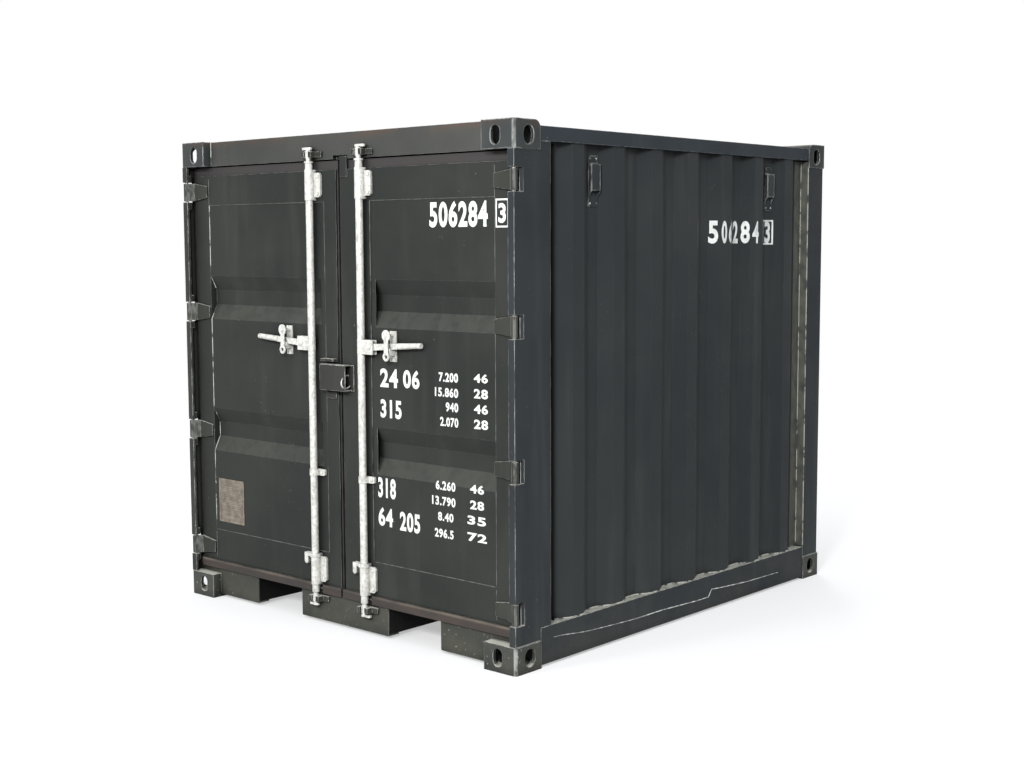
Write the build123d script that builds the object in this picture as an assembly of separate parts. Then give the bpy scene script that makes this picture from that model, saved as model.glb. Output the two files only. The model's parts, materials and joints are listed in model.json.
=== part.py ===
from build123d import *
from math import cos, radians, sin
import os

# Eight foot shipping container with double doors, in millimetres.
# X runs across the door end, Y runs from the doors (-Y) to the end wall, Z is up.
# The origin is the middle of the footprint, level with the undersides of the corner castings.

# Overall size over the corner castings
width = 2200
length = 2438
height = 2260
half_width = width / 2
half_length = length / 2

# Fits
seat = 0.3
running_clearance = 0.08
door_clearance = 6

# Corner castings
casting_x = 178
casting_y = 162
casting_z = 118
casting_wall = 16
casting_face = 24
casting_corner = 18
casting_brow = 34
casting_front_hole = 51
casting_side_hole = 63.5
casting_hole_height = 78
casting_hole_z = 62
casting_slot_from_side = 101.5
casting_slot_from_end = 89
casting_slot_long = 124
casting_slot_short = 63.5
hole_end_sides = 8
casting_inner_x = half_width - casting_x - seat
casting_inner_y = half_length - casting_y - seat
middle_z = casting_z + seat
upper_z = height - casting_z - seat

# Frame members, which stand a little inside the castings
frame_inset = 4
front_inset = 3
rear_inset = 20
door_recess = 48
frame_x = half_width - frame_inset
front_y = -half_length + front_inset
rear_y = half_length - rear_inset
header_y = -half_length + door_recess

rail_size = 60
rail_wall = 4
top_rail_top = height - 22
top_rail_z = top_rail_top - rail_size
bottom_rail_z = 12
bottom_rail_top = 172
bottom_rail_flange = 42
bottom_rail_wall = 5

# Door posts
post_plate = 12
post_hook = 34
post_box_wall = 6
post_box_width = 56
post_box_setback = 116
post_depth = 225
post_box_inner_x = frame_x - post_box_width
post_box_front_y = front_y + post_box_setback
post_rear_y = front_y + post_depth

# Rear posts, folded round the corner
rear_post_front_y = half_length - casting_y
rear_post_width = 136
rear_post_inner_x = frame_x - rear_post_width
rear_post_depth = 56
rear_post_wall = 5

# Door header and sill
header_z = height - 117
header_top = height - 1
header_depth = 110
header_wall = 4
header_notch_x = (-30, 70)
header_notch_height = 17
header_notch_depth = 24
sill_z = 14
sill_top = 163
sill_wall = 6
sill_flange = 65
rear_sill_depth = 60

# Fork pockets
pocket_x = 460
pocket_width = 330
pocket_top = 147
tunnel_wall = 4
tunnel_left = pocket_x - pocket_width / 2
tunnel_right = pocket_x + pocket_width / 2

# Side, end and roof sheets
sheet = 2
rib_pitch = 280
rib_flat = 72
rib_valley = 70
rib_depth = 36
side_rib_middle = 38
side_sheet_inset = 8
side_sheet_x = frame_x - side_sheet_inset
side_rib_count = 7
end_sheet_inset = 8
end_sheet_y = rear_y - end_sheet_inset
end_rib_count = 6
roof_crest_z = height - 15
roof_depth = 20
roof_rib_pitch = 209
roof_rib_flat = 70
roof_rib_valley = 69
roof_rib_count = 10

# Floor and the members under it
floor_thickness = 24
floor_z = sill_top - floor_thickness
member_height = 116
member_flange = 45
member_wall = 4
member_pitch = 300
member_count = 7

# Doors
leaf_thickness = 50
leaf_setback = 2
leaf_y = header_y + leaf_setback
leaf_inner_x = 15
leaf_side_gap = 40
leaf_outer_x = frame_x - leaf_side_gap
leaf_bottom_gap = 23
leaf_z = sill_top + leaf_bottom_gap
leaf_top_gap = 46
leaf_top = header_z - leaf_top_gap
leaf_wall = 4
outer_stile = 106
right_inner_stile = 190
left_inner_stile = 82
bottom_stile = 155
top_stile = 142
bottom_stile_z = leaf_z + bottom_stile
top_stile_z = leaf_top - top_stile
panel_setback = 2
panel_slope = 70
panel_valley = 72
panel_depth = 34
panel_recess_rise = (662, 1318)
panel_bead_width = 32
panel_bead_height = 3
gasket_depth = 34
gasket_setback = 8
gasket_lip = 22
gasket_inner_x = 6
gasket_outer_x = leaf_outer_x + gasket_lip
gasket_z = sill_top + door_clearance
gasket_top = header_z - door_clearance
sill_lip = 5
sill_lip_drop = 18
lip_cut_half = 34
tab_thickness = 6
tab_foot = 34

# Hinges
hinge_low = 67
hinge_high = 77
hinge_count = 4
hinge_step = (leaf_top - hinge_high - leaf_z - hinge_low) / (hinge_count - 1)
hinge_rows = [leaf_z + hinge_low + hinge_step * index for index in range(hinge_count)]
pin_inset_x = 13
pin_inset_y = 14
pin_x = frame_x - pin_inset_x
pin_y = front_y + pin_inset_y
pin_radius = 8
knuckle_radius = 15
knuckle_sides = 20
knuckle_height = 86
notch_height = 97
notch_outer_depth = 57
notch_inner_depth = 45
blade_thickness = 11
blade_tip_height = 56
blade_length = 104
lug_height = 34
lug_reach = 30

# Lock rods and their cams
rod_x = 167
rod_y = header_y - 23
rod_radius = 17
rod_low_gap = 13
rod_z = sill_top - rod_low_gap
rod_high_gap = 5
rod_top = header_z - rod_high_gap
collar_radius = 21
collar_height = 8
neck_radius = 12
cam_length = 36
cam_width = 20
cam_height = 34
cam_chamfer = 5
cam_gap = 13
lobe_reach = 38
lobe_gap = 4
lobe_height = 11

# Guides that hold the rods on the doors
guide_radius = 20.5
guide_plate_reach = 60
guide_plate = 13
guide_plate_inset = 14
guide_plate_corner = 10
top_guide_z = (leaf_top - 135, leaf_top + 3)
bottom_guide_z = (leaf_z, leaf_z + 146)
middle_guide_z = (leaf_z + 513, leaf_z + 543)
stop_ring_radius = 26
stop_ring_sides = 16
stop_ring_height = 16
stop_arm_reach = 64
stop_arm_width = 24
stop_arm_chamfer = 8
stop_drop = 52

# Keepers on the header and the sill
keeper_half = 34
keeper_wing = 70
keeper_wing_thickness = 10
keeper_height = 26
keeper_gap_half = 14
keeper_pocket_radius = 20.5
keeper_depth = 40

# Handles
handle_z = 1311
handle_pivot_reach = 62
handle_pivot_x = rod_x + handle_pivot_reach
handle_bar = 14
handle_bar_height = 30
handle_reach = 378
handle_tip_x = rod_x + handle_reach
handle_tip_rise = 20
grip_reach = 238
grip_x = rod_x + grip_reach
grip_taper = 0.8
grip_sides = 14
grip_root_radius = 14
grip_tip_radius = 12
hub_half_height = 32
hub_radius = 18
fork_plate = 6
fork_reach = 86
fork_gap = 0.6
handle_pin_radius = 7

# Handle retainers and catches
retainer_x = 350
retainer_half_width = 20
retainer_z = (1252, 1386)
retainer_plate = 6
cradle_half = 16
cradle_wall = 5
cradle_drop = 24
cradle_lip = 8
cradle_lip_gap = 3
catch_pin_z = 1368
catch_pin_radius = 5
catch_boss_radius = 8
catch_plate = 5
catch_sides = 18
catch_head_radius = 25
catch_foot_radius = 20
catch_foot_z = 1276
catch_waist_half = 12
catch_eye_radius = 8
catch_y = -half_length + 1

# Lock box across the doors
box_x = (-96, 76)
box_z = (1104, 1222)
box_front_y = -half_length + 7
box_wall = 5
box_flange_x = 94
box_overlap_gap = 6
box_bar_x = (-105, -20)
box_bar_z = (1234, 1246)
box_bar_depth = 28
box_tab_z = (1062, 1092)
box_tab_x = (-94, -24)
box_tab_thickness = 6

# Data plate
plate_x = (-922, -726)
plate_z = (386, 603)
plate_thickness = 3

# Vents high on the side walls, each on a valley of the sheet
vent_ribs = (0, 5)
vent_half_width = 31
vent_flange_half = 33
vent_hood_top = height - 160
vent_hood_bottom = height - 310
vent_flange_z = (height - 342, height - 124)
vent_hood_slant = 38
vent_depth = 20
vent_wall = 2


def block(x0, x1, y0, y1, z0, z1):
    """A box between two corners."""
    size = Box(abs(x1 - x0), abs(y1 - y0), abs(z1 - z0))
    return Pos((x0 + x1) / 2, (y0 + y1) / 2, (z0 + z1) / 2) * size


def mirrored_x(shape):
    return mirror(shape, Plane.YZ)


def mirrored_y(shape):
    return mirror(shape, Plane.XZ)


def upright(points, z0, z1):
    """A plan outline drawn up from z0 to z1."""
    outline = make_face(Polyline(*points, close=True))
    return Pos(0, 0, z0) * extrude(outline, amount=z1 - z0, dir=(0, 0, 1))


def rod_along_y(x, z, radius, y0, y1):
    return Pos(x, (y0 + y1) / 2, z) * Rot(90, 0, 0) * Cylinder(radius, abs(y1 - y0))


def write(name, *solids):
    """Write one node, made of solids that don't touch."""
    pieces = []
    for solid in solids:
        pieces.extend(solid.solids())
    shape = pieces[0] if len(pieces) == 1 else Compound(children=pieces)
    shape.label = name
    export_step(shape, f"parts/{name}.step")


def rib_outline(middle, pitch, flat, valley, depth, count, start, end, thickness):
    """Outline of a folded sheet that runs along the first axis, crests at 0 and valleys at -depth."""
    first = middle - pitch * (count - 1) / 2
    slope = (pitch - flat - valley) / 2
    upper = [(start, -depth)]
    for index in range(count):
        centre = first + index * pitch
        upper.append((centre - flat / 2 - slope, -depth))
        upper.append((centre - flat / 2, 0))
        upper.append((centre + flat / 2, 0))
        upper.append((centre + flat / 2 + slope, -depth))
    upper.append((end, -depth))
    lower = [(a, b - thickness) for a, b in reversed(upper)]
    return upper + lower


# Corner castings
def round_slot(long, short, depth):
    """A slot with true round ends, for the twistlocks, cut through Z with its long side along X."""
    return extrude(SlotOverall(long, short), amount=depth / 2, both=True)


def hand_hole(long, short, depth):
    """The same form with faceted ends, for the holes in the upright faces."""
    radius = short / 2
    reach = (long - short) / 2
    outline = []
    for end in (1, -1):
        for step in range(hole_end_sides + 1):
            turn = radians(180 * step / hole_end_sides - 90)
            outline.append((end * (reach + radius * cos(turn)), end * radius * sin(turn)))
    return extrude(make_face(Polyline(*outline, close=True)), amount=depth / 2, both=True)


def casting(top):
    """One hollow corner casting for the right front corner, with a slot in each outer face."""
    corner_x = half_width
    corner_y = -half_length
    body = block(corner_x - casting_x, corner_x, corner_y, corner_y + casting_y, 0, casting_z)
    uprights = body.edges().filter_by(Axis.Z)
    outer = uprights.sort_by_distance((corner_x, corner_y, casting_z / 2))
    body = fillet(outer[0], casting_corner)
    if top:
        across = body.edges().filter_by(Axis.X)
        brow = across.sort_by_distance((corner_x - casting_x / 2, corner_y + casting_y, 0))
        body = fillet(brow[0], casting_brow)
    cavity = block(
        corner_x - casting_x + casting_wall,
        corner_x - casting_wall,
        corner_y + casting_wall,
        corner_y + casting_y - casting_wall,
        casting_face,
        casting_z - casting_wall,
    )
    slot_x = corner_x - casting_slot_from_side
    slot_y = corner_y + casting_slot_from_end
    end_hole = Rot(90, 0, 0) * Rot(0, 0, 90)
    end_hole = end_hole * hand_hole(casting_hole_height, casting_front_hole, casting_wall * 3)
    end_hole = Pos(slot_x, corner_y + casting_wall / 2, casting_hole_z) * end_hole
    side_hole = Rot(0, 90, 0)
    side_hole = side_hole * hand_hole(casting_hole_height, casting_side_hole, casting_wall * 3)
    side_hole = Pos(corner_x - casting_wall / 2, slot_y, casting_hole_z) * side_hole
    slot = Pos(slot_x, slot_y, casting_face / 2)
    slot = slot * round_slot(casting_slot_long, casting_slot_short, casting_face * 2)
    body = body - cavity - end_hole - side_hole - slot
    if top:
        body = Pos(0, 0, height) * mirror(body, Plane.XY)
    return body


def write_castings():
    for level, top in (("bottom", False), ("top", True)):
        right = casting(top)
        left = mirrored_x(right)
        write(f"{level}_front_castings", left, right)
        write(f"{level}_rear_castings", mirrored_y(left), mirrored_y(right))


# Door posts, with a hooked front edge cut away at each hinge
def front_post():
    plate_inner = frame_x - post_plate
    hook_x = frame_x - post_hook
    hook_y = front_y + post_plate
    box_inner = [
        (post_box_inner_x + post_box_wall, post_box_front_y + post_box_wall),
        (frame_x - post_box_wall, post_box_front_y + post_box_wall),
        (frame_x - post_box_wall, post_rear_y - post_box_wall),
        (post_box_inner_x + post_box_wall, post_rear_y - post_box_wall),
    ]
    outline = [
        (hook_x, front_y),
        (frame_x, front_y),
        (frame_x, post_rear_y),
        (post_box_inner_x, post_rear_y),
        (post_box_inner_x, post_box_front_y),
        (plate_inner, post_box_front_y),
        (plate_inner, hook_y),
        (hook_x, hook_y),
    ]
    notch = [
        (hook_x - 1, front_y - 1),
        (half_width, front_y - 1),
        (half_width, front_y + notch_outer_depth),
        (frame_x, front_y + notch_outer_depth),
        (plate_inner, front_y + notch_inner_depth),
        (hook_x - 1, front_y + notch_inner_depth),
    ]
    foot_z = bottom_rail_top + seat
    head_z = top_rail_z - seat
    casting_back = -half_length + casting_y
    post = upright(outline, middle_z, head_z)
    for z in hinge_rows:
        for side in (-1, 1):
            lug_z = z + side * (notch_height + lug_height) / 2
            lug = block(
                frame_x - lug_reach,
                frame_x,
                front_y,
                front_y + lug_reach,
                lug_z - lug_height / 2,
                lug_z + lug_height / 2,
            )
            post += lug
    post -= upright(box_inner, middle_z - 1, head_z + 1)
    post -= block(post_box_inner_x - 1, half_width, casting_back, post_rear_y + 1, 0, foot_z)
    post -= block(post_box_inner_x - 1, half_width, front_y - 1, casting_back + seat, upper_z, height)
    for z in hinge_rows:
        post -= upright(notch, z - notch_height / 2, z + notch_height / 2)
    return post


def hinge_pins():
    """Pins seated between the lugs of each notch."""
    pin = Cylinder(pin_radius, notch_height - seat * 2)
    return [Pos(side * pin_x, pin_y, z) * pin for side in (-1, 1) for z in hinge_rows]


def rear_post():
    """A folded hollow corner section."""
    outer = [
        (frame_x, rear_post_front_y),
        (frame_x, rear_y),
        (rear_post_inner_x, rear_y),
        (rear_post_inner_x, rear_y - rear_post_depth),
        (frame_x - rear_post_depth, rear_y - rear_post_depth),
        (frame_x - rear_post_depth, rear_post_front_y),
    ]
    wall = rear_post_wall
    inner = [
        (frame_x - wall, rear_post_front_y + wall),
        (frame_x - wall, rear_y - wall),
        (rear_post_inner_x + wall, rear_y - wall),
        (rear_post_inner_x + wall, rear_y - rear_post_depth + wall),
        (frame_x - rear_post_depth + wall, rear_y - rear_post_depth + wall),
        (frame_x - rear_post_depth + wall, rear_post_front_y + wall),
    ]
    return upright(outer, middle_z, upper_z) - upright(inner, middle_z - 1, upper_z + 1)


# Door header and sill
def door_header():
    end_x = casting_inner_x
    back_y = header_y + header_depth
    body = block(-end_x, end_x, header_y, back_y, header_z, header_top)
    body -= block(
        -end_x - 1,
        end_x + 1,
        header_y + header_wall,
        back_y - header_wall,
        header_z + header_wall,
        header_top - header_wall,
    )
    left, right = header_notch_x
    notch_back = header_y + header_notch_depth
    notch_top = header_z + header_notch_height
    body += block(
        left - header_wall,
        right + header_wall,
        header_y,
        notch_back + header_wall,
        header_z,
        notch_top + header_wall,
    )
    return body - block(left, right, header_y - 1, notch_back, header_z - 1, notch_top)


def sill_beam(top_z, end_x, face_y, inward, depth):
    """The folded angle that runs over the fork pockets."""
    back = face_y + inward * depth
    inner = face_y + inward * sill_wall
    face = block(-end_x, end_x, face_y, inner, pocket_top, top_z)
    return face + block(-end_x, end_x, face_y, back, top_z - sill_wall, top_z)


def sill_legs(low_z, end_x, face_y, inward, depth):
    """The folded channels beside and between the fork pockets."""
    back = face_y + inward * depth
    inner = face_y + inward * sill_wall
    top = pocket_top - seat
    legs = []
    for x0, x1 in ((-end_x, -tunnel_right), (-tunnel_left, tunnel_left), (tunnel_right, end_x)):
        face = block(x0, x1, face_y, inner, low_z, top)
        legs.append(face + block(x0, x1, face_y, back, low_z, low_z + sill_wall))
    return legs


def door_sill():
    """The beam over the fork pockets, its legs, and a filler plate over each casting."""
    wide_x = frame_x - post_plate - seat
    narrow_x = post_box_inner_x
    beam = sill_beam(sill_top, wide_x, header_y, 1, sill_flange)
    behind = header_y + sill_wall
    fillers = []
    for side in (-1, 1):
        beam -= block(side * narrow_x, side * half_width, behind, header_y + sill_flange + 1, 0, height)
        x0 = side * (casting_inner_x + seat)
        fillers.append(block(x0, side * wide_x, header_y, behind, middle_z, pocket_top - seat))
    return [beam] + fillers + sill_legs(sill_z, casting_inner_x, header_y, 1, sill_flange)


def rear_sill():
    beam = sill_beam(bottom_rail_top, casting_inner_x, rear_y, -1, rear_sill_depth)
    return [beam] + sill_legs(bottom_rail_z, casting_inner_x, rear_y, -1, rear_sill_depth)


def hollow_bar(x0, x1, y0, y1, z0, z1, wall, axis):
    """A square tube, open at both ends along the axis."""
    bar = block(x0, x1, y0, y1, z0, z1)
    gap_x = wall if axis != "x" else -1
    gap_y = wall if axis != "y" else -1
    return bar - block(x0 + gap_x, x1 - gap_x, y0 + gap_y, y1 - gap_y, z0 + wall, z1 - wall)


def top_rail():
    end_y = casting_inner_y
    return hollow_bar(frame_x - rail_size, frame_x, -end_y, end_y, top_rail_z, top_rail_top, rail_wall, "y")


def rear_header():
    end_x = casting_inner_x
    return hollow_bar(-end_x, end_x, rear_y - rail_size, rear_y, top_rail_z, top_rail_top, rail_wall, "x")


def bottom_rail():
    end_y = casting_inner_y
    inner_x = frame_x - bottom_rail_flange
    web = block(frame_x - bottom_rail_wall, frame_x, -end_y, end_y, bottom_rail_z, bottom_rail_top)
    top = block(inner_x, frame_x, -end_y, end_y, bottom_rail_top - bottom_rail_wall, bottom_rail_top)
    bottom = block(inner_x, frame_x, -end_y, end_y, bottom_rail_z, bottom_rail_z + bottom_rail_wall)
    return web + top + bottom


# Folded sheets
def side_panel():
    outline = rib_outline(
        side_rib_middle,
        rib_pitch,
        rib_flat,
        rib_valley,
        rib_depth,
        side_rib_count,
        post_rear_y + seat,
        rear_post_front_y - seat,
        sheet,
    )
    points = [(side_sheet_x + b, a) for a, b in outline]
    return upright(points, bottom_rail_top + seat, top_rail_z - seat)


def end_wall():
    end_x = rear_post_inner_x - seat
    outline = rib_outline(
        0, rib_pitch, rib_flat, rib_valley, rib_depth, end_rib_count, -end_x, end_x, sheet
    )
    points = [(a, end_sheet_y + b) for a, b in outline]
    panel = upright(points, bottom_rail_top + seat, top_rail_z - seat)
    for side in (-1, 1):
        panel -= block(side * casting_inner_x, side * half_width, 0, half_length, upper_z, height)
    return panel


def roof_panel():
    start = header_y + header_depth + seat
    end = rear_y - rail_size - seat
    outline = rib_outline(
        (start + end) / 2,
        roof_rib_pitch,
        roof_rib_flat,
        roof_rib_valley,
        roof_depth,
        roof_rib_count,
        start,
        end,
        sheet,
    )
    half = frame_x - rail_size - seat
    points = [(a, roof_crest_z + b) for a, b in outline]
    face = Plane.YZ * make_face(Polyline(*points, close=True))
    panel = extrude(face, amount=half, both=True)
    for x_side in (-1, 1):
        for y_side in (-1, 1):
            panel -= block(
                x_side * casting_inner_x,
                x_side * half_width,
                y_side * casting_inner_y,
                y_side * half_length,
                upper_z,
                height,
            )
    return panel


# Floor and underframe
def floor_boards():
    half = post_box_inner_x - seat
    front = header_y + sill_flange + seat
    back = rear_y - rail_size - seat
    return block(-half, half, front, back, floor_z, sill_top)


def cross_members():
    rail_in = frame_x - bottom_rail_wall - seat
    left_of = tunnel_left - tunnel_wall - seat
    right_of = tunnel_right + tunnel_wall + seat
    top = floor_z - seat
    low = max(top - member_height, bottom_rail_z + bottom_rail_wall + seat)
    first = -member_pitch * (member_count - 1) / 2
    members = []
    for index in range(member_count):
        y = first + member_pitch * index
        for x0, x1 in ((-rail_in, -right_of), (-left_of, left_of), (right_of, rail_in)):
            web = block(x0, x1, y, y + member_wall, low, top)
            upper = block(x0, x1, y, y + member_flange, top - member_wall, top)
            lower = block(x0, x1, y, y + member_flange, low, low + member_wall)
            members.append(web + upper + lower)
    return members


def fork_tunnels():
    """A roof plate over each fork pocket, and two side plates that reach from sill to sill."""
    plates = []
    front = header_y + sill_flange + seat
    back = rear_y - rear_sill_depth - seat
    side_front = header_y + sill_wall + seat
    side_back = rear_y - sill_wall - seat
    side_low = sill_z + sill_wall + seat
    top = floor_z - seat
    under = top - tunnel_wall - seat
    for side in (-1, 1):
        for x in (tunnel_left - tunnel_wall, tunnel_right):
            plates.append(block(side * x, side * (x + tunnel_wall), side_front, side_back, side_low, under))
        x0 = tunnel_left - tunnel_wall
        x1 = tunnel_right + tunnel_wall
        plates.append(block(side * x0, side * x1, front, back, top - tunnel_wall, top))
    return plates


# Keepers on the header and the sill
def keeper(middle):
    """A forked block with a round pocket, open to the front, and a wing to one side."""
    back = header_y - seat
    front = back - keeper_depth
    z0 = middle - keeper_height / 2
    z1 = middle + keeper_height / 2
    body = block(-keeper_half, keeper_half, front, back, z0, z1)
    body += block(0, keeper_wing, back - keeper_wing_thickness, back, z0, z1)
    body -= Pos(0, rod_y, middle) * Cylinder(keeper_pocket_radius, keeper_height + 2)
    body -= block(-keeper_gap_half, keeper_gap_half, front - 1, rod_y, z0 - 1, z1 + 1)
    return body


def cam_middles():
    return (rod_top + cam_gap + cam_height / 2, rod_z - cam_gap - cam_height / 2)


def keepers():
    shapes = []
    for middle in cam_middles():
        for side in (-1, 1):
            shapes.append(Pos(side * rod_x, 0, 0) * keeper(middle))
    return shapes


def side_vents():
    """Labyrinth covers over the wall vents: a flange plate and a hood with an open slanted foot."""
    valley = side_sheet_x - rib_depth + seat
    first = side_rib_middle - rib_pitch * (side_rib_count - 1) / 2
    outer = valley + vent_depth
    profile = [
        (valley, vent_hood_top),
        (outer, vent_hood_top),
        (outer, vent_hood_bottom + vent_hood_slant),
        (valley, vent_hood_bottom),
    ]
    hollow = [
        (valley + vent_wall, vent_hood_top - vent_wall),
        (outer - vent_wall, vent_hood_top - vent_wall),
        (outer - vent_wall, vent_hood_bottom - 1),
        (valley + vent_wall, vent_hood_bottom - 1),
    ]
    shapes = []
    for rib in vent_ribs:
        y = first + rib_pitch * (rib + 0.5)
        flange = block(
            valley,
            valley + vent_wall,
            y - vent_flange_half,
            y + vent_flange_half,
            vent_flange_z[0],
            vent_flange_z[1],
        )
        hood = Plane.XZ * make_face(Polyline(*profile, close=True))
        hood = Pos(0, y, 0) * extrude(hood, amount=vent_half_width, both=True)
        inside = Plane.XZ * make_face(Polyline(*hollow, close=True))
        inside = Pos(0, y, 0) * extrude(inside, amount=vent_half_width - vent_wall, both=True)
        cover = flange + (hood - inside)
        shapes.append(cover)
        shapes.append(mirrored_x(cover))
    return shapes


# Door leaves, drawn for the right side
def leaf_frame(inner_stile):
    body = block(leaf_inner_x, leaf_outer_x, leaf_y, leaf_y + leaf_thickness, leaf_z, leaf_top)
    window_x0 = leaf_inner_x + inner_stile
    window_x1 = leaf_outer_x - outer_stile
    body -= block(window_x0, window_x1, leaf_y - 1, leaf_y + leaf_thickness + 1, bottom_stile_z, top_stile_z)
    hollows = (
        (leaf_inner_x, window_x0, leaf_z, leaf_top),
        (window_x1, leaf_outer_x, leaf_z, leaf_top),
        (window_x0 - leaf_wall, window_x1 + leaf_wall, leaf_z, bottom_stile_z),
        (window_x0 - leaf_wall, window_x1 + leaf_wall, top_stile_z, leaf_top),
    )
    for x0, x1, z0, z1 in hollows:
        body -= block(
            x0 + leaf_wall,
            x1 - leaf_wall,
            leaf_y + leaf_wall,
            leaf_y + leaf_thickness - leaf_wall,
            z0 + leaf_wall,
            z1 - leaf_wall,
        )
    return body


def notch_tab():
    """The tab on top of the right leaf, which reaches up into the header's notch."""
    x0 = leaf_inner_x + door_clearance
    x1 = header_notch_x[1] - door_clearance
    z1 = header_z + header_notch_height - door_clearance
    return block(x0, x1, leaf_y - tab_thickness, leaf_y + leaf_wall, leaf_top - tab_foot, z1)


def leaf_panel(inner_stile):
    """A sheet with two horizontal recesses and a rolled bead along its inner edge."""
    face_y = leaf_y + panel_setback
    half_recess = panel_valley / 2 + panel_slope
    outer = [(face_y, bottom_stile_z + seat)]
    for rise in panel_recess_rise:
        z = leaf_z + rise
        outer.append((face_y, z - half_recess))
        outer.append((face_y + panel_depth, z - panel_valley / 2))
        outer.append((face_y + panel_depth, z + panel_valley / 2))
        outer.append((face_y, z + half_recess))
    outer.append((face_y, top_stile_z - seat))
    points = outer + [(y + sheet, z) for y, z in reversed(outer)]
    face = Plane.YZ * make_face(Polyline(*points, close=True))
    x0 = leaf_inner_x + inner_stile + seat
    x1 = leaf_outer_x - outer_stile - seat
    panel = Pos(x0, 0, 0) * extrude(face, amount=x1 - x0, dir=(1, 0, 0))
    bead = make_face(
        Line((0, 0), (panel_bead_width, 0))
        + ThreePointArc(
            (panel_bead_width, 0), (panel_bead_width / 2, -panel_bead_height), (0, 0)
        )
    )
    low = bottom_stile_z + seat
    bead = Pos(x0, face_y + sheet / 2, low) * extrude(bead, amount=top_stile_z - seat - low, dir=(0, 0, 1))
    return panel + bead


def leaf_gasket():
    """A rubber frame round the leaf, with a lip before the sill, cut away round the lock rod."""
    y0 = leaf_y + gasket_setback
    y1 = y0 + gasket_depth
    body = block(gasket_inner_x, gasket_outer_x, y0, y1, gasket_z, gasket_top)
    hole = block(
        leaf_inner_x - seat, leaf_outer_x + seat, y0 - 1, y1 + 1, leaf_z - seat, leaf_top + seat
    )
    lip_y = header_y - door_clearance
    lip_z = sill_top - sill_lip_drop
    lip = block(gasket_inner_x, leaf_outer_x, lip_y - sill_lip, lip_y, lip_z, leaf_z - seat)
    lip += block(gasket_inner_x, leaf_outer_x, lip_y - sill_lip, y0, gasket_z, leaf_z - seat)
    lip -= block(rod_x - lip_cut_half, rod_x + lip_cut_half, lip_y - sill_lip - 1, y0, lip_z - 1, leaf_z)
    return body + lip - hole


def hinge_blades():
    """Forged blades, wide at the knuckle and narrow at their tip on the leaf."""
    shapes = []
    leaf_face = leaf_y - seat
    for z in hinge_rows:
        plan = [
            (leaf_outer_x - blade_length, leaf_face),
            (leaf_outer_x - blade_length, leaf_face - blade_thickness),
            (leaf_outer_x - 8, leaf_face - blade_thickness),
            (pin_x - knuckle_radius * 0.5, pin_y - knuckle_radius * 0.866),
            (pin_x, pin_y),
            (pin_x - knuckle_radius * 0.6, pin_y + knuckle_radius * 0.8),
            (leaf_outer_x + 2, leaf_face),
        ]
        plate = upright(plan, z - knuckle_height / 2, z + knuckle_height / 2)
        tip = blade_tip_height / 2
        wide = knuckle_height / 2
        taper = [
            (leaf_outer_x - blade_length - 1, z - tip),
            (leaf_outer_x, z - wide),
            (half_width, z - wide),
            (half_width, z + wide),
            (leaf_outer_x, z + wide),
            (leaf_outer_x - blade_length - 1, z + tip),
        ]
        side = Plane.XZ * make_face(Polyline(*taper, close=True))
        side = extrude(side, amount=half_length * 2, both=True)
        blade = plate & side
        knuckle = RegularPolygon(knuckle_radius, knuckle_sides)
        blade += Pos(pin_x, pin_y, z) * extrude(knuckle, amount=knuckle_height / 2, both=True)
        blade -= Pos(pin_x, pin_y, z) * Cylinder(pin_radius + running_clearance, knuckle_height + 2)
        shapes.append(blade)
    return shapes


def rod_guides(side):
    """Sleeves that hold the lock rod on the leaf, each with a bolted plate beside it."""
    shapes = []
    face = leaf_y - seat
    for z0, z1 in (top_guide_z, bottom_guide_z, middle_guide_z):
        middle = (z0 + z1) / 2
        long = z1 - z0 > guide_plate_inset * 4
        inset = guide_plate_inset if long else 0
        plate = block(0, guide_plate_reach, face - guide_plate, face, z0 + inset, z1 - inset)
        outer = plate.edges().filter_by(Axis.Y).sort_by(Axis.X)[-2:]
        plate = chamfer(outer, guide_plate_corner if long else guide_plate_corner / 2)
        sleeve = Pos(0, rod_y, middle) * Cylinder(guide_radius, z1 - z0)
        neck = block(-guide_radius, guide_radius, rod_y, face, z0, z1)
        guide = plate + sleeve + neck
        if z0 == bottom_guide_z[0]:
            ring_z = z1 - stop_ring_height / 2
            ring = RegularPolygon(stop_ring_radius, stop_ring_sides)
            guide += Pos(0, rod_y, ring_z) * extrude(ring, amount=stop_ring_height / 2, both=True)
            front = rod_y - stop_arm_width / 2
            back = rod_y + stop_arm_width / 2
            low = z1 - stop_ring_height
            guide += block(-stop_arm_reach, 0, front, back, low, z1)
            tip_x = stop_arm_width - stop_arm_reach
            drop = block(-stop_arm_reach, tip_x, front, back, z1 - stop_drop, z1)
            guide += chamfer(drop.edges().filter_by(Axis.Y), stop_arm_chamfer)
        guide &= block(-stop_arm_reach, guide_plate_reach, -half_length + 1, face, z0, z1)
        guide -= Pos(0, rod_y, middle) * Cylinder(rod_radius + running_clearance, z1 - z0 + 2)
        shapes.append(Pos(side * rod_x, 0, 0) * guide)
    return shapes


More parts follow.
